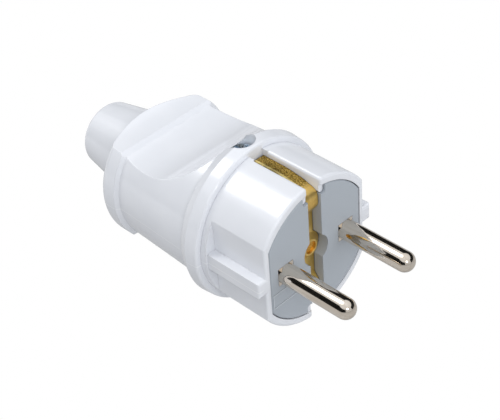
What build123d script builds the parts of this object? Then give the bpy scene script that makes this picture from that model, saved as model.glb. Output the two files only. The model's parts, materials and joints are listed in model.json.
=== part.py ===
from build123d import *
from math import sqrt
import os

# Rewirable grounded plug with two round pins and side earth contacts. Millimetres.
# X points to the pin tips and Z to the housing screw. The origin is on the plug's axis,
# in the plane of the carrier's front face, so everything behind the face has a negative X.

# Pins
pin_spacing = 19.0
pin_diameter = 4.8
pin_reach = 19.0
collar_side = 4.55
collar_length = 6.0
pin_flange_diameter = 8.4
pin_flange_length = 2.5
terminal_diameter = 7.0
terminal_length = 12.5
conductor_bore = 3.4
conductor_depth = 8.5

# Front shell
sleeve_radius = 18.4
sleeve_wall = 1.75
sleeve_length = 16.85
sleeve_edge = 0.6
side_flat_half_width = 15.5
side_flat_wall = 1.2
side_flat_length = 15.2
rib_height = 4.1
rib_proud = 2.3
web_thickness = 2.0
spigot_radius = 16.0
spigot_wall = 1.6
spigot_length = 4.6

# Earth channel and its lips
channel_width = 4.0
lip_thickness = 1.35
lip_depth = 2.05
lip_round_share = 0.49
channel_edge = 0.7

# Contact carrier
carrier_edge = 0.3
channel_depth = 3.5
earth_bore_radius = 3.75
contact_slot_floor = 13.0
panel_width = 7.4
panel_height = 3.8
panel_y = -10.1
panel_z = -5.7
panel_line = 0.25
panel_relief = 0.15

# Earth strip
strip_thickness = 0.8
strip_side_gap = 0.1
arm_height = 16.36
arm_end_gap = 0.5
arm_room = 0.76
arm_bend = 9.0
bow_front = 1.12
bow_foot = 8.75
bow_shoulder = 11.3
bow_crown = 14.55
bow_slope_length = 3.9
bow_slope_drop = 0.61
bow_foot_bend = 2.0
bow_front_bend = 2.0
bow_crown_bend = 1.6
bow_slope_bend = 6.0
arm_taper_length = 4.5
pad_radius = 3.5
neck_root_radius = 3.2
neck_tip_radius = 2.0
neck_length = 1.1
neck_screw_gap = 0.5

# Back plate with its tail, saddle and sleeve stop
back_thickness = 2.5
centre_opening_radius = 4.6
barrier_thickness = 1.0
barrier_height = 10.0
barrier_length = 7.5
post_half_width = 4.4
post_height = 4.8
tail_thickness = 2.4
tail_floor = 7.9
saddle_length = 6.0
saddle_front = 37.0
saddle_half_width = 10.4
saddle_top = 2.0
cable_radius = 4.4
stop_radius = 8.4
stop_length = 2.0

# Hood
ring_radius = 20.1
ring_draft = 0.3
ring_round = 0.6
ring_width = 3.15
flank_length = 2.4
flank_radius = 18.9
body_front_radius = 18.05
body_front = 22.85
body_rear_radius = 17.1
flange_front = 45.0
flange_radius = 18.1
flange_lead = 0.7
flange_width = 4.0
dome_length = 5.2
dome_round = 2.0
dome_rear_radius = 10.5
hood_wall = 2.2
boss_half_width = 4.2
boss_front_gap = 1.3
boss_rear_gap = 0.5

# Finger scoops above and below
land_front = 46.2
land_height = 12.0
land_rear = 60.0
land_rear_height = 16.6
floor_rear = 45.2
floor_rear_height = 11.07
floor_low_at = 38.6
floor_low = 10.3
crease_at = 29.6
crease_height = 12.6
ramp_top_at = 22.9
ramp_top_height = 17.75
ramp_sag = 0.6

# Bend sleeve
cable_bore_radius = 4.75
neck_outer_radius = 7.0
inner_collar_radius = 8.6
inner_collar_length = 2.0
nozzle_root_radius = 10.4
nozzle_tip_radius = 8.0
nozzle_length = 13.8
nozzle_round = 1.2
mouth_radius = 6.4
mouth_depth = 3.0

# Screws, nuts and washer
small_screw_diameter = 3.0
small_head_diameter = 5.4
small_head_height = 1.8
small_nut_width = 5.5
small_nut_height = 2.2
earth_screw_diameter = 3.0
earth_head_diameter = 6.0
earth_head_height = 2.0
washer_side = 6.4
washer_thickness = 1.0
housing_screw_diameter = 3.5
housing_head_diameter = 5.8
housing_head_height = 2.1
housing_head_sink = 3.2
housing_head_round = 0.6
housing_cross_length = 4.4
housing_screw_depth = 21.0
housing_screw_overrun = 0.5
recess_diameter = 6.4
recess_floor = 2.6
housing_nut_width = 6.0
housing_nut_height = 2.4
slot_width = 0.8
slot_depth = 0.9
head_round_share = 0.25
terminal_screw_reach = 1.2
carrier_screw_wall_gap = 0.35
carrier_screw_post_gap = 0.3
carrier_screw_skin = 2.8

# Cord clamp
clamp_length = 4.8
clamp_ear_thickness = 2.4
clamp_arch_thickness = 2.0
clamp_screw_y = 7.9
clamp_screw_inset = 0.55

# Clearances
slide_gap = 0.1
screw_gap = 0.05

# Stations along X that follow from the sizes above
carrier_rear = -(collar_length + pin_flange_length)
web_rear = carrier_rear - web_thickness
back_rear = web_rear - back_thickness
shoulder = -sleeve_length
spigot_rear = shoulder - spigot_length
dome_front = -(flange_front + flange_lead + flange_width)
dome_rear = dome_front - dome_length
wall_inside = dome_rear + hood_wall
collar_front = wall_inside + inner_collar_length

# Stations across the plug
pin_y = pin_spacing / 2
carrier_radius = sleeve_radius - sleeve_wall - slide_gap
carrier_half_width = side_flat_half_width - side_flat_wall - slide_gap
lip_tip = sqrt(carrier_radius ** 2 - (channel_width / 2 + lip_thickness) ** 2) - lip_depth
channel_floor = arm_height - strip_thickness / 2 - arm_room
housing_head_top = ring_radius - housing_head_sink
head_seat = housing_head_top - housing_head_height
post_top = head_seat - recess_floor
ring_front_radius = ring_radius - ring_draft
carrier_screw_radius = spigot_radius - spigot_wall - small_head_diameter / 2 - carrier_screw_wall_gap
carrier_screw_y = post_half_width + small_head_diameter / 2 + carrier_screw_post_gap
carrier_screw_z = sqrt(carrier_screw_radius ** 2 - carrier_screw_y ** 2)


def turned(*points):
    """A solid of revolution about X from its (x, radius) outline."""
    return revolve(Plane.XY * make_face(Polyline(*points, close=True)), Axis.X, 360)


def bar_x(section, front, rear):
    """A (y, z) section drawn out from one X station to another."""
    return extrude(Plane.YZ.offset(rear) * section, amount=front - rear)


def round_x(radius, front, rear, y=0.0, z=0.0):
    return bar_x(Pos(y, z) * Circle(radius), front, rear)


def round_z(radius, low, high, x=0.0, y=0.0):
    return extrude(Plane.XY.offset(low) * (Pos(x, y) * Circle(radius)), amount=high - low)


def flat_sided(radius, half_width):
    """A round section with a flat on each side."""
    return Circle(radius) & Rectangle(2 * half_width, 4 * radius)


def lips(gap):
    """The two pairs of lips beside the earth channels, or room for them when gap is set."""
    half = channel_width / 2
    outer = carrier_radius + sleeve_wall / 2
    pair = Sketch()
    for y_side in (-1, 1):
        for z_side in (-1, 1):
            lip = Pos(y_side * (half + lip_thickness / 2), z_side * (lip_tip + outer) / 2)
            size = (lip_thickness + 2 * gap, outer - lip_tip + 2 * gap)
            pair += lip * RectangleRounded(*size, lip_round_share * lip_thickness)
    return pair


def carrier_screw_places():
    return (carrier_screw_y, carrier_screw_z), (-carrier_screw_y, -carrier_screw_z)


def channels(floor):
    """The earth channels' sections above and below, down to the given floor."""
    height = 2 * sleeve_radius - floor
    pair = Sketch()
    for side in (-1, 1):
        pair += Pos(0, side * (floor + height / 2)) * Rectangle(channel_width, height)
    return pair


def sleeve_section():
    """The front sleeve's outside, with its side flats and the channels' rounded mouths."""
    section = flat_sided(sleeve_radius, side_flat_half_width) - channels(channel_floor)
    mouths = section.vertices().filter_by(lambda v: abs(v.X) < channel_width)
    mouths = mouths.filter_by(lambda v: abs(v.Y) > channel_floor + slide_gap)
    return fillet(mouths, channel_edge)


def side_ribs():
    """The guide rib along the middle of each side flat."""
    section = Rectangle(2 * (side_flat_half_width + rib_proud), rib_height)
    section -= Rectangle(2 * side_flat_half_width - side_flat_wall, rib_height)
    ribs = bar_x(section, 0, -side_flat_length)
    front = ribs.edges().filter_by(lambda e: e.center().X > -slide_gap)
    return fillet(front.filter_by(lambda e: abs(e.center().Y) > side_flat_half_width), sleeve_edge)


def make_front_shell():
    shell = bar_x(sleeve_section(), 0, -side_flat_length)
    rim = shell.faces().sort_by(Axis.X)[-1].edges()
    outside = rim.filter_by(lambda e: e.center().length > side_flat_half_width - slide_gap)
    shell = fillet(outside, sleeve_edge)
    shell += side_ribs()
    shell += bar_x(Circle(sleeve_radius) - channels(channel_floor), -side_flat_length, shoulder)
    shell += round_x(spigot_radius, shoulder, spigot_rear)
    seat = flat_sided(carrier_radius + slide_gap, carrier_half_width + slide_gap)
    shell -= bar_x(seat, 1, carrier_rear)
    shell += bar_x(lips(0) & Circle(carrier_radius + sleeve_wall / 2), -sleeve_edge, carrier_rear)
    shell -= round_x(spigot_radius - spigot_wall, web_rear, spigot_rear)
    for y in (-pin_y, pin_y):
        shell -= round_x(terminal_diameter / 2 + slide_gap, carrier_rear, web_rear, y)
    shell -= round_x(centre_opening_radius, carrier_rear, web_rear)
    for y, z in carrier_screw_places():
        shell -= round_x(small_screw_diameter / 2 + slide_gap, carrier_rear, web_rear, y, z)
    notch_front = shoulder - boss_front_gap + slide_gap
    notch_height = 2 * (spigot_radius - post_top) + 2 * slide_gap
    notch = Pos(0, spigot_radius) * Rectangle(2 * (boss_half_width + slide_gap), notch_height)
    shell -= bar_x(notch, notch_front, spigot_rear)
    return shell


def make_contact_carrier():
    body = bar_x(flat_sided(carrier_radius, carrier_half_width), 0, carrier_rear)
    body = chamfer(body.faces().sort_by(Axis.X)[-1].edges(), carrier_edge)
    body -= bar_x(lips(slide_gap), 1, carrier_rear)
    body -= bar_x(Rectangle(channel_width, 3 * carrier_radius), 1, -channel_depth)
    for side in (-1, 1):
        height = carrier_radius
        slot = Pos(0, side * (contact_slot_floor + height / 2)) * Rectangle(channel_width, height)
        body -= bar_x(slot, 1, carrier_rear)
        square = Pos(side * pin_y, 0) * Rectangle(collar_side + 2 * screw_gap, collar_side + 2 * screw_gap)
        body -= bar_x(square, 1, -collar_length)
        body -= round_x(pin_flange_diameter / 2 + slide_gap, -collar_length, carrier_rear, side * pin_y)
    body -= round_x(earth_bore_radius, 1, -channel_depth)
    body -= round_x(earth_screw_diameter / 2 + slide_gap, -channel_depth, carrier_rear)
    for y, z in carrier_screw_places():
        body -= round_x(small_screw_diameter / 2 + screw_gap, -carrier_screw_skin, carrier_rear, y, z)
    border = Rectangle(panel_width, panel_height)
    border -= Rectangle(panel_width - 2 * panel_line, panel_height - 2 * panel_line)
    body += bar_x(Pos(panel_y, panel_z) * border, panel_relief, 0)
    return body


def make_pin(side):
    """One contact pin: domed tip, square collar, flange and screw terminal in one turning."""
    radius = pin_diameter / 2
    straight = pin_reach - radius
    outline = Polyline((0, 0), (0, radius), (straight, radius))
    outline += RadiusArc((straight, radius), (pin_reach, 0), radius)
    outline += Line((pin_reach, 0), (0, 0))
    pin = revolve(Plane.XY * make_face(outline), Axis.X, 360)
    pin += bar_x(Rectangle(collar_side, collar_side), 0, -collar_length)
    pin += round_x(pin_flange_diameter / 2, -collar_length, carrier_rear)
    terminal_rear = carrier_rear - terminal_length
    pin += round_x(terminal_diameter / 2, carrier_rear, terminal_rear)
    pin -= round_x(conductor_bore / 2, terminal_rear + conductor_depth, terminal_rear)
    screw_hole = small_screw_diameter / 2 + screw_gap
    pin -= round_z(screw_hole, 0, terminal_diameter, terminal_screw_x())
    return Pos(0, side * pin_y, 0) * pin


def terminal_screw_x():
    return carrier_rear - terminal_length + conductor_depth / 2


def headed_screw(diameter, length, head_diameter, head_height):
    """A slotted screw along Z, its head standing on Z = 0."""
    screw = round_z(diameter / 2, -length, 0)
    head = round_z(head_diameter / 2, 0, head_height)
    head = fillet(head.edges().sort_by(Axis.Z)[-1:], head_round_share * head_height)
    slot = Pos(0, 0, head_height) * Box(2 * head_diameter, slot_width, 2 * slot_depth)
    return screw + (head - slot)


def make_terminal_screw(side):
    wall = terminal_diameter / 2 - conductor_bore / 2
    length = screw_gap + wall + terminal_screw_reach
    screw = headed_screw(small_screw_diameter, length, small_head_diameter, small_head_height)
    return Pos(terminal_screw_x(), side * pin_y, terminal_diameter / 2 + screw_gap) * screw


def strip_centre_line():
    """The middle of the bent strip in the XZ plane, from the lower arm's end to the upper one's."""
    foot_x = -channel_depth + strip_side_gap + strip_thickness / 2
    slope_x = -bow_front - bow_slope_length
    slope_z = arm_height - bow_slope_drop
    half = [(foot_x, bow_foot), (-bow_front, bow_shoulder), (-bow_front, bow_crown), (slope_x, slope_z)]
    half += [(slope_x - arm_taper_length, arm_height), (shoulder + arm_end_gap, arm_height)]
    lower = [(x, -z) for x, z in reversed(half)]
    radii = [bow_foot_bend, bow_front_bend, bow_crown_bend, bow_slope_bend, arm_bend]
    return lower + half, radii[::-1] + radii


def make_earth_strip():
    points, radii = strip_centre_line()
    line = FilletPolyline(*points, radius=radii)
    profile = Plane.XZ * trace(line, strip_thickness)
    width = channel_width - 2 * strip_side_gap
    strip = extrude(profile, amount=width / 2, both=True)
    pad_rear = -channel_depth + strip_side_gap
    pad_front = pad_rear + strip_thickness
    strip += round_x(pad_radius, pad_front, pad_rear)
    neck_front = pad_front + neck_length
    skirt = (pad_front, neck_root_radius), (neck_front, neck_tip_radius)
    strip += turned((pad_front, 0), *skirt, (neck_front, 0))
    inside = earth_screw_diameter / 2 + screw_gap
    strip -= round_x(inside, neck_front, pad_rear)
    return strip


def make_earth_washer():
    plate = Rectangle(washer_side, washer_side) - Circle(earth_screw_diameter / 2 + slide_gap)
    return bar_x(plate, carrier_rear, carrier_rear - washer_thickness)


def make_earth_screw():
    seat = carrier_rear - washer_thickness
    neck_front = -channel_depth + strip_side_gap + strip_thickness + neck_length
    length = neck_front - seat - neck_screw_gap
    screw = headed_screw(earth_screw_diameter, length, earth_head_diameter, earth_head_height)
    return Pos(seat, 0, 0) * Rot(0, -90, 0) * screw


def make_carrier_back():
    plate = round_x(spigot_radius - spigot_wall - slide_gap, web_rear, back_rear)
    post_low = post_top - post_height
    post_rear = -housing_screw_depth - recess_diameter / 2
    post = Pos(0, (post_top + post_low) / 2) * Rectangle(2 * post_half_width, post_height)
    plate += bar_x(post, back_rear, post_rear)
    for side in (-1, 1):
        barrier_y = (pin_y - terminal_diameter / 2 + centre_opening_radius) / 2
        wall = Pos(side * barrier_y, 0) * Rectangle(barrier_thickness, barrier_height)
        plate += bar_x(wall, web_rear, back_rear - barrier_length)
    tail_rear = collar_front + slide_gap
    tail = Pos(0, tail_thickness / 2 - tail_floor) * Rectangle(2 * post_half_width, tail_thickness)
    plate += bar_x(tail, back_rear, tail_rear)
    saddle_height = saddle_top + tail_floor
    saddle = Pos(0, saddle_top - saddle_height / 2) * Rectangle(2 * saddle_half_width, saddle_height)
    plate += bar_x(saddle, -saddle_front, -saddle_front - saddle_length)
    stop = Circle(stop_radius) & (Pos(0, -stop_radius) * Rectangle(4 * stop_radius, 2 * stop_radius))
    stop &= Pos(0, 2 * stop_radius - tail_floor) * Rectangle(4 * stop_radius, 4 * stop_radius)
    plate += bar_x(stop, tail_rear + stop_length, tail_rear)
    cable_room = Circle(cable_radius)
    cable_room += Pos(0, cable_radius) * Rectangle(2 * cable_radius, 2 * cable_radius)
    plate -= bar_x(cable_room, -saddle_front, tail_rear)
    for y in (-pin_y, pin_y):
        plate -= round_x(terminal_diameter / 2 + slide_gap, web_rear, back_rear, y)
    plate -= round_x(centre_opening_radius, web_rear, back_rear)
    for y, z in carrier_screw_places():
        plate -= round_x(small_screw_diameter / 2 + slide_gap, web_rear, back_rear, y, z)
    for y in (-clamp_screw_y, clamp_screw_y):
        x = -saddle_front - saddle_length / 2
        plate -= round_z(small_screw_diameter / 2 + screw_gap, -tail_floor, saddle_top, x, y)
        pocket = Pos(x, y) * hexagon(small_nut_width + 2 * slide_gap)
        plate -= extrude(Plane.XY.offset(-tail_floor) * pocket, amount=small_nut_height + slide_gap)
    plate -= round_z(housing_screw_diameter / 2 + slide_gap, post_low, post_top, -housing_screw_depth)
    nut_room = housing_nut_width + 2 * slide_gap
    pocket = Rectangle(nut_room, 2 * post_half_width + nut_room)
    pocket = Pos(-housing_screw_depth, -post_half_width) * pocket
    pocket_low = nut_low() - slide_gap
    plate -= extrude(Plane.XY.offset(pocket_low) * pocket, amount=housing_nut_height + 2 * slide_gap)
    return plate


def hexagon(width):
    """A hexagon by its width across flats."""
    return RegularPolygon(width / 2, 6, major_radius=False)


def nut_low():
    return post_top - post_height / 2 - housing_nut_height / 2


def make_carrier_screw(place):
    y, z = place
    length = -carrier_screw_skin - back_rear - slide_gap
    screw = headed_screw(small_screw_diameter, length, small_head_diameter, small_head_height)
    return Pos(back_rear, y, z) * Rot(0, -90, 0) * screw


def make_cord_clamp():
    inner = cable_radius
    outer = cable_radius + clamp_arch_thickness
    ear = Rectangle(2 * saddle_half_width, clamp_ear_thickness)
    ear = Pos(0, saddle_top + clamp_ear_thickness / 2) * ear
    above = Pos(0, saddle_top + 2 * outer) * Rectangle(4 * outer, 4 * outer)
    section = ear + (Circle(outer) & above) - Circle(inner)
    middle = -saddle_front - saddle_length / 2
    clamp = bar_x(section, middle + clamp_length / 2, middle - clamp_length / 2)
    for y in (-clamp_screw_y, clamp_screw_y):
        clamp -= round_z(small_screw_diameter / 2 + slide_gap, 0, 2 * outer, middle, y)
    return clamp


def make_clamp_screw(side):
    seat = saddle_top + clamp_ear_thickness
    length = seat + tail_floor - clamp_screw_inset
    screw = headed_screw(small_screw_diameter, length, small_head_diameter, small_head_height)
    return Pos(-saddle_front - saddle_length / 2, side * clamp_screw_y, seat) * screw


def make_clamp_nut(side):
    nut = hexagon(small_nut_width) - Circle(small_screw_diameter / 2 + screw_gap)
    x = -saddle_front - saddle_length / 2
    low = -tail_floor + slide_gap / 2
    return extrude(Plane.XY.offset(low) * (Pos(x, side * clamp_screw_y) * nut), amount=small_nut_height)


def make_housing_screw():
    length = head_seat - nut_low() + housing_screw_overrun
    shank = round_z(housing_screw_diameter / 2, head_seat - length, head_seat)
    head = round_z(housing_head_diameter / 2, head_seat, housing_head_top)
    head = fillet(head.edges().sort_by(Axis.Z)[-1:], housing_head_round)
    for angle in (0, 90):
        slot = Rot(0, 0, angle) * Box(housing_cross_length, slot_width, 2 * slot_depth)
        head -= Pos(0, 0, housing_head_top) * slot
    return Pos(-housing_screw_depth, 0, 0) * (shank + head)


def make_housing_nut():
    nut = Rectangle(housing_nut_width, housing_nut_width) - Circle(housing_screw_diameter / 2 + screw_gap)
    place = Pos(-housing_screw_depth, 0) * nut
    return extrude(Plane.XY.offset(nut_low()) * place, amount=housing_nut_height)


def scoop_section(grow):
    """The room above the upper scoop in the XZ plane, widened by grow on every side."""
    crown = 2 * ring_radius
    low = (-floor_low_at, floor_low)
    floor_end = (-floor_rear, floor_rear_height)
    land = (-land_front, land_height)
    land_end = (-land_rear, land_rear_height)
    crease = (-crease_at, crease_height)
    ramp_top = (-ramp_top_at, ramp_top_height)
    run = crease_at - ramp_top_at
    rise = ramp_top_height - crease_height
    slope = sqrt(run ** 2 + rise ** 2)
    middle_x = run / 2 - crease_at + ramp_sag * rise / slope
    middle_z = crease_height + rise / 2 - ramp_sag * run / slope
    line = TangentArc(land, land_end, tangent=(-1, 0))
    line += Line(land, floor_end)
    line += TangentArc(low, floor_end, tangent=(-1, 0))
    line += TangentArc(low, crease, tangent=(1, 0))
    line += ThreePointArc(crease, (middle_x, middle_z), ramp_top)
    line += Polyline(ramp_top, (-ramp_top_at, crown), (-land_rear, crown), land_end)
    section = make_face(line)
    if grow:
        section = offset(section, amount=grow, kind=Kind.INTERSECTION)
    return section


def scoops(grow):
    upper = extrude(Plane.XZ * scoop_section(grow), amount=2 * ring_radius, both=True)
    return upper + mirror(upper, about=Plane.XY)


def hood_profile():
    """The hood's outside in the XY plane, from the ring's front face back to the nozzle's seat."""
    ring_rear = shoulder - ring_width
    lip = -(flange_front + flange_lead)
    corners = [
        (shoulder, 0),
        (shoulder, ring_front_radius),
        (ring_rear, ring_radius),
        (ring_rear - flank_length, flank_radius),
        (-body_front, body_front_radius),
        (-flange_front, body_rear_radius),
        (lip, flange_radius),
        (dome_front, flange_radius),
        (dome_rear, dome_rear_radius),
        (dome_rear, 0),
    ]
    profile = make_face(Polyline(*corners, close=True))
    profile = fillet(profile.vertices().sort_by_distance((shoulder, ring_front_radius))[0], ring_round)
    return fillet(profile.vertices().sort_by_distance((dome_front, flange_radius))[0], dome_round)


def cavity_profile():
    """The hood's inside, one wall thickness within the profile."""
    inner_radius = flange_radius - hood_wall
    dome_slope = (flange_radius - dome_rear_radius) / dome_length
    drop = hood_wall * sqrt(1 + dome_slope ** 2)
    rear_radius = dome_rear_radius - drop + dome_slope * hood_wall
    corner_x = wall_inside + (inner_radius - rear_radius) / dome_slope
    corners = [
        (spigot_rear, 0),
        (spigot_rear, body_front_radius - hood_wall),
        (-flange_front, body_rear_radius - hood_wall),
        (corner_x, inner_radius),
        (wall_inside, rear_radius),
        (wall_inside, 0),
    ]
    return make_face(Polyline(*corners, close=True))


def make_hood():
    outside = revolve(Plane.XY * hood_profile(), Axis.X, 360) - scoops(0)
    cavity = revolve(Plane.XY * cavity_profile(), Axis.X, 360) - scoops(hood_wall)
    hood = outside - cavity
    hood -= round_x(spigot_radius + slide_gap, 1, spigot_rear - slide_gap)
    boss_rear = -housing_screw_depth - recess_diameter / 2 - boss_rear_gap
    boss_front = shoulder - boss_front_gap
    room = Pos((boss_front + boss_rear) / 2, 0) * Rectangle(boss_front - boss_rear, 2 * boss_half_width)
    boss_height = spigot_radius + hood_wall / 2 - post_top
    hood += extrude(Plane.XY.offset(post_top) * room, amount=boss_height) & outside
    hood -= round_z(recess_diameter / 2, head_seat, 2 * ring_radius, -housing_screw_depth)
    hood -= round_z(housing_screw_diameter / 2 + slide_gap, 0, head_seat, -housing_screw_depth)
    hood -= round_x(neck_outer_radius + slide_gap, wall_inside, dome_rear)
    return hood


def make_bend_sleeve():
    tip = dome_rear - nozzle_length
    body = turned(
        (collar_front, 0),
        (collar_front, inner_collar_radius),
        (wall_inside, inner_collar_radius),
        (wall_inside, neck_outer_radius),
        (dome_rear, neck_outer_radius),
        (dome_rear, nozzle_root_radius),
        (tip, nozzle_tip_radius),
        (tip, 0),
    )
    body = fillet(body.faces().sort_by(Axis.X)[0].edges(), nozzle_round)
    body -= turned(
        (collar_front + slide_gap, 0),
        (collar_front + slide_gap, cable_bore_radius),
        (tip + mouth_depth, cable_bore_radius),
        (tip, mouth_radius),
        (tip, 0),
    )
    return body


parts = {
    "front_shell": make_front_shell(),
    "contact_carrier": make_contact_carrier(),
    "carrier_back": make_carrier_back(),
    "hood": make_hood(),
    "bend_sleeve": make_bend_sleeve(),
    "left_pin": make_pin(1),
    "right_pin": make_pin(-1),
    "left_terminal_screw": make_terminal_screw(1),
    "right_terminal_screw": make_terminal_screw(-1),
    "earth_strip": make_earth_strip(),
    "earth_washer": make_earth_washer(),
    "earth_screw": make_earth_screw(),
    "upper_carrier_screw": make_carrier_screw(carrier_screw_places()[0]),
    "lower_carrier_screw": make_carrier_screw(carrier_screw_places()[1]),
    "cord_clamp": make_cord_clamp(),
    "left_clamp_screw": make_clamp_screw(1),
    "right_clamp_screw": make_clamp_screw(-1),
    "left_clamp_nut": make_clamp_nut(1),
    "right_clamp_nut": make_clamp_nut(-1),
    "housing_screw": make_housing_screw(),
    "housing_nut": make_housing_nut(),
}

os.makedirs("parts", exist_ok=True)
for name, shape in parts.items():
    export_step(shape, f"parts/{name}.step")
    print(name, round(shape.volume, 1))
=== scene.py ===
import json
import math

import bpy
from mathutils import Matrix, Vector


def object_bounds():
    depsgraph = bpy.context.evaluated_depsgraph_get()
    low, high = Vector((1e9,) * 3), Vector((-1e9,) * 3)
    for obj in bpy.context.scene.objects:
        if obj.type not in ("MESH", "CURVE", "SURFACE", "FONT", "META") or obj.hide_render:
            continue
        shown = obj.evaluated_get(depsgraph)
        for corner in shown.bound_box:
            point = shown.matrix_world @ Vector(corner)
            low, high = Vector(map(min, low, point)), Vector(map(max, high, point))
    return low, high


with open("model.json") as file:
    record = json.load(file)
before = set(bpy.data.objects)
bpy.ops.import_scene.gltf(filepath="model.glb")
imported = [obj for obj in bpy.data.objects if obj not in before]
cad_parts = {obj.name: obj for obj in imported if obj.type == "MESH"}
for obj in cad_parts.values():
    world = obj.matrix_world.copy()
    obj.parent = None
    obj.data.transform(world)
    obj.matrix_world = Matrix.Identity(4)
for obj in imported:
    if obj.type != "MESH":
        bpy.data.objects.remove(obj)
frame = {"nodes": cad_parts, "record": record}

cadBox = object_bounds()
mm = 0.001
nodes = frame["nodes"]
print("frame loaded:", len(nodes), "nodes")


# Camera, at the lens's place in the plug's own frame, in metres
camera = {
    "place": (0.144983, -0.151706, 0.182313),
    "forward": (-0.571928, 0.525978, -0.629481),
    "up": (-0.406775, 0.484530, 0.774445),
    "lensMm": 92.835,
    "sensorMm": 36.0,
    "clipNear": 0.01,
    "clipFar": 20.0,
}


def addCamera(shot):
    data = bpy.data.cameras.new("camera")
    data.lens = shot["lensMm"]
    data.sensor_width = shot["sensorMm"]
    data.sensor_fit = "HORIZONTAL"
    data.clip_start = shot["clipNear"]
    data.clip_end = shot["clipFar"]
    back = -Vector(shot["forward"]).normalized()
    side = Vector(shot["up"]).cross(back).normalized()
    top = back.cross(side)
    turn = Matrix((side, top, back)).transposed()
    obj = bpy.data.objects.new("camera", data)
    obj.matrix_world = Matrix.Translation(shot["place"]) @ turn.to_4x4()
    bpy.context.scene.collection.objects.link(obj)
    bpy.context.scene.camera = obj


addCamera(camera)
bpy.context.scene.view_settings.view_transform = "Standard"
print("camera set")


# Steps that the finishes share
def newMaterial(name):
    mat = bpy.data.materials.new(name)
    mat.use_nodes = True
    tree = mat.node_tree
    tree.nodes.clear()
    out = tree.nodes.new("ShaderNodeOutputMaterial")
    shader = tree.nodes.new("ShaderNodeBsdfPrincipled")
    tree.links.new(shader.outputs["BSDF"], out.inputs["Surface"])
    return mat, tree, shader


# Object coordinates are the part's own frame in metres, because every node sits at the origin
def objectPlace(tree, scale=(1, 1, 1)):
    place = tree.nodes.new("ShaderNodeTexCoord")
    mapping = tree.nodes.new("ShaderNodeMapping")
    mapping.inputs["Scale"].default_value = scale
    tree.links.new(place.outputs["Object"], mapping.inputs["Vector"])
    return mapping.outputs["Vector"]


def axisOf(tree, place, axis):
    parts = tree.nodes.new("ShaderNodeSeparateXYZ")
    tree.links.new(place, parts.inputs["Vector"])
    return parts.outputs[axis]


def combine(tree, operation, first, second=0.0):
    step = tree.nodes.new("ShaderNodeMath")
    step.operation = operation
    for socket, value in zip(step.inputs, (first, second)):
        if isinstance(value, (int, float)):
            socket.default_value = value
        else:
            tree.links.new(value, socket)
    return step.outputs["Value"]


def noise(tree, place, size, detail, rough=0.55):
    tex = tree.nodes.new("ShaderNodeTexNoise")
    tex.inputs["Scale"].default_value = 1.0 / size
    tex.inputs["Detail"].default_value = detail
    tex.inputs["Roughness"].default_value = rough
    tree.links.new(place, tex.inputs["Vector"])
    return tex.outputs["Fac"]


# Most of a noise lies between the start and the end given here
def spread(tree, value, low=0.0, high=1.0, start=0.3, end=0.7):
    ramp = tree.nodes.new("ShaderNodeMapRange")
    ramp.inputs["From Min"].default_value = start
    ramp.inputs["From Max"].default_value = end
    ramp.inputs["To Min"].default_value = low
    ramp.inputs["To Max"].default_value = high
    tree.links.new(value, ramp.inputs["Value"])
    return ramp.outputs["Result"]


# 1 within halfWidth of the middle, 0 beyond it, with a soft edge
def band(tree, value, middle, halfWidth, soft):
    away = combine(tree, "ABSOLUTE", combine(tree, "SUBTRACT", value, middle))
    return spread(tree, away, 1.0, 0.0, halfWidth, halfWidth + soft)


# Mask of the painted shade in gaps: 0 deep in a gap whose other wall is closer than the reach, 1 on
# open faces
def gapShadeMask(tree, reach, deep=0.30, clear=0.62, samples=8):
    near = tree.nodes.new("ShaderNodeAmbientOcclusion")
    near.samples = samples
    near.inputs["Distance"].default_value = reach
    return spread(tree, near.outputs["AO"], 0.0, 1.0, deep, clear)


# Either colour may be a plain one or the outcome of an earlier blend
def blendColours(tree, value, dark, light):
    mix = tree.nodes.new("ShaderNodeMix")
    mix.data_type = "RGBA"
    tree.links.new(value, mix.inputs["Factor"])
    for socket, colour in zip((mix.inputs["A"], mix.inputs["B"]), (dark, light)):
        if isinstance(colour, tuple):
            socket.default_value = (*colour, 1)
        else:
            tree.links.new(colour, socket)
    return mix.outputs["Result"]


def setFinish(tree, shader, look, colour, grain):
    rough = spread(tree, grain, look["roughLow"], look["roughHigh"])
    tree.links.new(colour, shader.inputs["Base Color"])
    tree.links.new(rough, shader.inputs["Roughness"])


# The edge is the radius that sharp corners seem to be rounded with
def addBump(tree, shader, value, height, strength, edge=0.0, samples=6):
    bump = tree.nodes.new("ShaderNodeBump")
    bump.inputs["Distance"].default_value = height
    bump.inputs["Strength"].default_value = strength
    tree.links.new(value, bump.inputs["Height"])
    if edge:
        rounding = tree.nodes.new("ShaderNodeBevel")
        rounding.samples = samples
        rounding.inputs["Radius"].default_value = edge
        tree.links.new(rounding.outputs["Normal"], bump.inputs["Normal"])
    tree.links.new(bump.outputs["Normal"], shader.inputs["Normal"])


# White moulding of the shell, the hood and the bend sleeve: slow waves, fine grain,
# a thin raised mould line along each side with a painted highlight on it, and painted shade in the
# narrow gaps
whitePlastic = {
    "light": (0.798, 0.814, 0.850),
    "dark": (0.773, 0.790, 0.828),
    "roughLow": 0.13,
    "roughHigh": 0.19,
    "ior": 1.50,
    "specular": 0.9,
    "waveSize": 7 * mm,
    "waveDetail": 1.5,
    "waveHeight": 0.010 * mm,
    "waveBump": 0.6,
    "grainSize": 0.35 * mm,
    "grainDetail": 2.0,
    "edge": 0.30 * mm,
    "gapShadeReach": 0.5 * mm,
    # painted shade, the colour deep in narrow gaps
    "gapShade": (0.67, 0.68, 0.72),
    "hoodSeam": -1.4 * mm,         # height of the mould line on the hood
    "shellSeam": -0.3 * mm,        # and on the front shell
    # painted highlight: the lighter colour of the mould line, whose ridge itself is a real bump
    "seamHighlight": (0.93, 0.94, 0.96),
    "seamHalfWidth": 0.05 * mm,
    "seamSoft": 0.06 * mm,
    "seamHeight": 0.03 * mm,
    "seamOutside": 16.2 * mm,      # it shows only further out to the side than this
}


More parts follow.
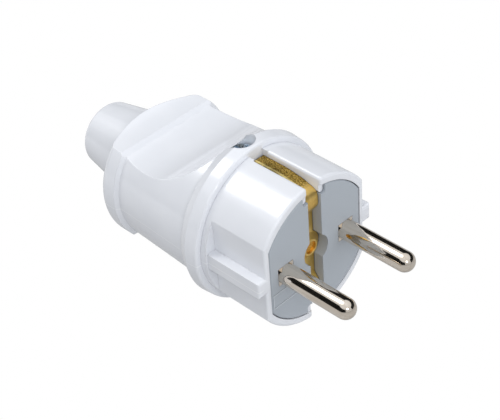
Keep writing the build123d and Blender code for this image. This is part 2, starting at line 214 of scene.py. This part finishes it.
def makeWhitePlastic(name, look, seamPlace):
    mat, tree, shader = newMaterial(name)
    place = objectPlace(tree)
    wave = noise(tree, place, look["waveSize"], look["waveDetail"])
    grain = noise(tree, place, look["grainSize"], look["grainDetail"])
    line = band(tree, axisOf(tree, place, "Z"), seamPlace, look["seamHalfWidth"], look["seamSoft"])
    aside = combine(tree, "ABSOLUTE", axisOf(tree, place, "Y"))
    seam = combine(tree, "MULTIPLY", line, combine(tree, "GREATER_THAN", aside, look["seamOutside"]))
    plain = blendColours(tree, spread(tree, wave), look["dark"], look["light"])
    # painted highlight: the mould line is coloured lighter
    lined = blendColours(tree, seam, plain, look["seamHighlight"])
    # painted shade: the colour darkens deep in narrow gaps
    colour = blendColours(tree, gapShadeMask(tree, look["gapShadeReach"]), look["gapShade"], lined)
    setFinish(tree, shader, look, colour, grain)
    shader.inputs["IOR"].default_value = look["ior"]
    shader.inputs["Specular IOR Level"].default_value = look["specular"]
    ridge = combine(tree, "MULTIPLY", seam, look["seamHeight"] / look["waveHeight"])
    relief = combine(tree, "ADD", wave, ridge)
    addBump(tree, shader, relief, look["waveHeight"], look["waveBump"], look["edge"])
    return mat


# Grey moulding of the carrier, its back plate and the cord clamp
greyPlastic = {
    "light": (0.425, 0.460, 0.498),
    "dark": (0.392, 0.428, 0.466),
    "roughLow": 0.36,
    "roughHigh": 0.48,
    "ior": 1.50,
    "grainSize": 0.22 * mm,
    "grainDetail": 3.0,
    "grainHeight": 0.006 * mm,
    "grainBump": 0.5,
    "edge": 0.20 * mm,
    "gapShadeReach": 0.6 * mm,
    # painted shade, the colour deep in narrow gaps round the carrier
    "gapShade": (0.14, 0.15, 0.17),
    # painted highlight: the raised frame on the face is coloured lighter
    "raisedHighlight": (0.56, 0.60, 0.64),   # the bare frame on the face
    "raisedAbove": 0.06 * mm,
}


def makeGreyPlastic(name, look):
    mat, tree, shader = newMaterial(name)
    place = objectPlace(tree)
    grain = noise(tree, place, look["grainSize"], look["grainDetail"])
    plain = blendColours(tree, spread(tree, grain), look["dark"], look["light"])
    # painted shade: the colour darkens deep in narrow gaps
    faced = blendColours(tree, gapShadeMask(tree, look["gapShadeReach"]), look["gapShade"], plain)
    # painted highlight on the raised frame of the face
    raised = combine(tree, "GREATER_THAN", axisOf(tree, place, "X"), look["raisedAbove"])
    colour = blendColours(tree, raised, faced, look["raisedHighlight"])
    setFinish(tree, shader, look, colour, grain)
    shader.inputs["IOR"].default_value = look["ior"]
    addBump(tree, shader, grain, look["grainHeight"], look["grainBump"], look["edge"])
    return mat


# Nickel plate of the pins, with faint streaks along them
nickel = {
    "light": (0.88, 0.80, 0.70),
    "dark": (0.76, 0.67, 0.56),
    "roughLow": 0.05,
    "roughHigh": 0.10,
    "streakSize": 0.5 * mm,
    "streakDetail": 3.0,
    "streakAlong": (0.08, 1, 1),
    "streakHeight": 0.0016 * mm,
    "streakBump": 0.5,
}


def makeNickel(name, look):
    mat, tree, shader = newMaterial(name)
    place = objectPlace(tree, look["streakAlong"])
    streak = noise(tree, place, look["streakSize"], look["streakDetail"])
    colour = blendColours(tree, spread(tree, streak), look["dark"], look["light"])
    setFinish(tree, shader, look, colour, streak)
    shader.inputs["Metallic"].default_value = 1.0
    addBump(tree, shader, streak, look["streakHeight"], look["streakBump"])
    return mat


# Brass of the earth strip: smooth bends in front, speckled arms in the channels,
# and a painted highlight line along each arm
brass = {
    "light": (0.95, 0.68, 0.23),
    "dark": (0.80, 0.54, 0.15),
    "roughLow": 0.34,
    "roughHigh": 0.46,
    "streakSize": 1.4 * mm,
    "streakDetail": 2.0,
    "streakAlong": (1, 1, 0.15),
    "armLight": (0.84, 0.58, 0.15),
    "armDark": (0.15, 0.09, 0.012),
    "armEnd": -4.0 * mm,           # the speckles fade out from here to the front
    "armFade": 1.5 * mm,
    "armHeight": 12 * mm,          # the arms lie further than this from the middle
    "speckleSize": 0.30 * mm,
    "speckleDetail": 2.0,
    "speckleStart": 0.40,
    "speckleEnd": 0.68,
    "speckleHeight": 0.05 * mm,
    "speckleBump": 1.0,
    # painted highlight: a light line along each arm
    "armHighlight": (1.00, 0.82, 0.34),
    "armHighlightMiddle": -0.62 * mm,
    "armHighlightHalfWidth": 0.16 * mm,
    "armHighlightSoft": 0.18 * mm,
    "edge": 0.30 * mm,
}


def makeBrass(name, look):
    mat, tree, shader = newMaterial(name)
    place = objectPlace(tree)
    stretched = objectPlace(tree, look["streakAlong"])
    streak = noise(tree, stretched, look["streakSize"], look["streakDetail"])
    bends = blendColours(tree, spread(tree, streak), look["dark"], look["light"])

    speckle = noise(tree, place, look["speckleSize"], look["speckleDetail"])
    spots = spread(tree, speckle, 0.0, 1.0, look["speckleStart"], look["speckleEnd"])
    spotted = blendColours(tree, spots, look["armDark"], look["armLight"])
    across = axisOf(tree, place, "Y")
    # painted highlight line along the arm
    armHighlightLine = band(tree, across, look["armHighlightMiddle"], look["armHighlightHalfWidth"], look["armHighlightSoft"])
    arms = blendColours(tree, armHighlightLine, spotted, look["armHighlight"])

    fadeEnd = look["armEnd"] + look["armFade"]
    behind = spread(tree, axisOf(tree, place, "X"), 1.0, 0.0, look["armEnd"], fadeEnd)
    fromMiddle = combine(tree, "ABSOLUTE", axisOf(tree, place, "Z"))
    high = combine(tree, "GREATER_THAN", fromMiddle, look["armHeight"])
    onArm = combine(tree, "MULTIPLY", behind, high)
    setFinish(tree, shader, look, blendColours(tree, onArm, bends, arms), streak)
    shader.inputs["Metallic"].default_value = 1.0
    relief = combine(tree, "MULTIPLY", speckle, onArm)
    addBump(tree, shader, relief, look["speckleHeight"], look["speckleBump"], look["edge"])
    return mat


# Zinc plate of the screws, nuts and washer, blue white or, on the earth screw, yellow as a painted
# reflection of the brass strip round it
zinc = {
    "light": (0.90, 0.96, 1.00),
    "dark": (0.44, 0.55, 0.66),
    "roughLow": 0.22,
    "roughHigh": 0.42,
    "cloudSize": 0.32 * mm,
    "cloudDetail": 3.0,
    "cloudHeight": 0.06 * mm,
    "cloudBump": 0.5,
}
# painted reflection: the earth screw is tinted yellow for the brass of the strip's neck mirrored on
# it
zincPaintedBrassReflection = {
    **zinc,
    "light": (0.95, 0.55, 0.12),
    "dark": (0.70, 0.34, 0.05),
}


def makeZinc(name, look):
    mat, tree, shader = newMaterial(name)
    cloud = noise(tree, objectPlace(tree), look["cloudSize"], look["cloudDetail"])
    colour = blendColours(tree, spread(tree, cloud), look["dark"], look["light"])
    setFinish(tree, shader, look, colour, cloud)
    shader.inputs["Metallic"].default_value = 1.0
    addBump(tree, shader, cloud, look["cloudHeight"], look["cloudBump"])
    return mat


# One finish for each of the record's material slots, then the nodes that differ from their slot
slotFinishes = {
    "housing": makeWhitePlastic("whitePlastic", whitePlastic, whitePlastic["hoodSeam"]),
    "carrier": makeGreyPlastic("greyPlastic", greyPlastic),
    "pins": makeNickel("nickel", nickel),
    "brass": makeBrass("brass", brass),
    "steel": makeZinc("zinc", zinc),
}
nodeFinishes = {
    "front_shell": makeWhitePlastic("shellPlastic", whitePlastic, whitePlastic["shellSeam"]),
    # the earth screw's yellow is a painted reflection of the brass round it
    "earth_screw": makeZinc("zincPaintedBrassReflection", zincPaintedBrassReflection),
}
print("finishes made:", len(slotFinishes) + len(nodeFinishes))


def dressNode(node, mat):
    obj = nodes[node]
    if not obj.material_slots:
        obj.data.materials.append(mat)
    for place in obj.material_slots:
        place.link = "OBJECT"
        place.material = mat


for part in frame["record"]["subparts"]:
    slotFinish = slotFinishes[part["material_slot"]]
    dressNode(part["node"], nodeFinishes.get(part["node"], slotFinish))
print("nodes dressed")


# Studio: a pale table, which the camera sees as plain white, under a sky that is brighter
# from above and in front. The sky that lights the plug and the one that its gloss and metal
# mirror differ, each with its own even part and lobes of light.
studio = {
    "floorDrop": 45 * mm,
    "floorSize": 6.0,
    "floorWhite": (0.50, 0.50, 0.50),
    "skyColour": (0.952, 0.969, 1.0),
    "skyEven": 0.315,
    "skyLobes": [
        ((0, 0, 1), 0.24),
        ((1, 0, 0), 0.88),
        ((0.7, 0, 0.7), 0.28),
    ],
    "mirrorEven": 0.50,
    "mirrorLobes": [((0, 0, 1), 0.42)],
}


def addSheet(name, points, faces, mat):
    mesh = bpy.data.meshes.new(name)
    mesh.from_pydata(points, [], faces)
    mesh.materials.append(mat)
    sheet = bpy.data.objects.new(name, mesh)
    bpy.context.scene.collection.objects.link(sheet)
    return sheet


# The camera sees plain white, and everything else what lights the plug
def whiteToCamera(tree, lit):
    glow = tree.nodes.new("ShaderNodeEmission")
    path = tree.nodes.new("ShaderNodeLightPath")
    mix = tree.nodes.new("ShaderNodeMixShader")
    tree.links.new(path.outputs["Is Camera Ray"], mix.inputs["Fac"])
    tree.links.new(lit, mix.inputs[1])
    tree.links.new(glow.outputs["Emission"], mix.inputs[2])
    return mix.outputs["Shader"]


def makeTableWhite(name, colour):
    mat = bpy.data.materials.new(name)
    mat.use_nodes = True
    tree = mat.node_tree
    tree.nodes.clear()
    out = tree.nodes.new("ShaderNodeOutputMaterial")
    matt = tree.nodes.new("ShaderNodeBsdfDiffuse")
    matt.inputs["Color"].default_value = (*colour, 1)
    tree.links.new(whiteToCamera(tree, matt.outputs["BSDF"]), out.inputs["Surface"])
    return mat


def addFloor(room):
    low = cadBox[0][2] - room["floorDrop"]
    half = room["floorSize"] / 2
    corners = [(-half, -half, low), (half, -half, low), (half, half, low), (-half, half, low)]
    white = makeTableWhite("floorWhite", room["floorWhite"])
    floor = addSheet("floor", corners, [(0, 1, 2, 3)], white)


# Light that falls off from the given direction to nothing at a right angle to it
def lobe(tree, way, direction, strength):
    dot = tree.nodes.new("ShaderNodeVectorMath")
    dot.operation = "DOT_PRODUCT"
    dot.inputs[1].default_value = direction
    tree.links.new(way, dot.inputs[0])
    part = tree.nodes.new("ShaderNodeMapRange")
    part.inputs["To Max"].default_value = strength
    tree.links.new(dot.outputs["Value"], part.inputs["Value"])
    return part.outputs["Result"]


def skyTotal(tree, way, even, lobes):
    total = tree.nodes.new("ShaderNodeValue").outputs[0]
    total.default_value = even
    for direction, strength in lobes:
        total = combine(tree, "ADD", total, lobe(tree, way, direction, strength))
    return total


def setWorld(room):
    world = bpy.data.worlds.new("studio")
    bpy.context.scene.world = world
    world.use_nodes = True
    tree = world.node_tree
    tree.nodes.clear()
    out = tree.nodes.new("ShaderNodeOutputWorld")
    way = tree.nodes.new("ShaderNodeTexCoord").outputs["Generated"]
    path = tree.nodes.new("ShaderNodeLightPath")
    choice = tree.nodes.new("ShaderNodeMix")
    tree.links.new(path.outputs["Is Glossy Ray"], choice.inputs["Factor"])
    tree.links.new(skyTotal(tree, way, room["skyEven"], room["skyLobes"]), choice.inputs["A"])
    tree.links.new(skyTotal(tree, way, room["mirrorEven"], room["mirrorLobes"]), choice.inputs["B"])
    lit = tree.nodes.new("ShaderNodeBackground")
    lit.inputs["Color"].default_value = (*room["skyColour"], 1)
    tree.links.new(choice.outputs["Result"], lit.inputs["Strength"])
    tree.links.new(whiteToCamera(tree, lit.outputs["Background"]), out.inputs["Surface"])


# A long soft box over the rear, whose reflection runs along the shell, and a small front lamp
softBoxes = {
    "longBox": {
        "shape": "RECTANGLE",
        "direction": (-0.57, -0.20, 0.78),
        "distance": 0.9,
        "size": (0.34, 0.75),
        "power": 3.4,
    },
    "frontLamp": {
        "shape": "DISK",
        "direction": (0.75, -0.32, 0.55),
        "distance": 0.9,
        "size": (0.26, 0.26),
        "power": 0.8,
    },
}
softBoxAim = (-0.02, 0, 0)         # near the middle of the plug


def addSoftBox(name, box, aim):
    light = bpy.data.lights.new(name, "AREA")
    light.shape = box["shape"]
    light.size, light.size_y = box["size"]
    light.energy = box["power"]
    obj = bpy.data.objects.new(name, light)
    toward = Vector(box["direction"]).normalized()
    obj.location = Vector(aim) + toward * box["distance"]
    obj.rotation_euler = toward.to_track_quat("Z", "Y").to_euler()
    bpy.context.scene.collection.objects.link(obj)


# Black cards round the table, which the bright metal mirrors as its dark bands. Each one
# runs from a rear to a front bearing, and its lower and upper edges change on the way.
cards = {
    "reach": 0.60,
    "colour": (0.002, 0.002, 0.002),
    "rough": 0.9,
    "steps": 16,
    "places": {                    # bearing, lower edge and upper edge, in degrees
        "nearCard": {"rear": (-158, -6, 42), "front": (-45, 2, 28)},
        "farCard": {"rear": (172, 1, 57), "front": (18, 5, 31)},
    },
}


def around(bearing, height, reach):
    turn, rise = math.radians(bearing), math.radians(height)
    flat = reach * math.cos(rise)
    return (flat * math.cos(turn), flat * math.sin(turn), reach * math.sin(rise))


def between(start, end, share):
    return start + (end - start) * share


def addCard(name, place, steps, reach, mat):
    points, faces = [], []
    for i in range(steps + 1):
        ends = zip(place["rear"], place["front"])
        bearing, low, high = (between(rear, front, i / steps) for rear, front in ends)
        points += [around(bearing, low, reach), around(bearing, high, reach)]
        if i:
            faces.append((2 * i - 2, 2 * i, 2 * i + 1, 2 * i - 1))
    card = addSheet(name, points, faces, mat)
    card.visible_camera = False
    card.visible_diffuse = False
    card.visible_shadow = False


def addCards(look):
    mat, tree, shader = newMaterial("cardBlack")
    shader.inputs["Base Color"].default_value = (*look["colour"], 1)
    shader.inputs["Roughness"].default_value = look["rough"]
    for name, place in look["places"].items():
        addCard(name, place, look["steps"], look["reach"], mat)


addFloor(studio)
setWorld(studio)
addCards(cards)
for name, box in softBoxes.items():
    addSoftBox(name, box, softBoxAim)
print("studio lit")
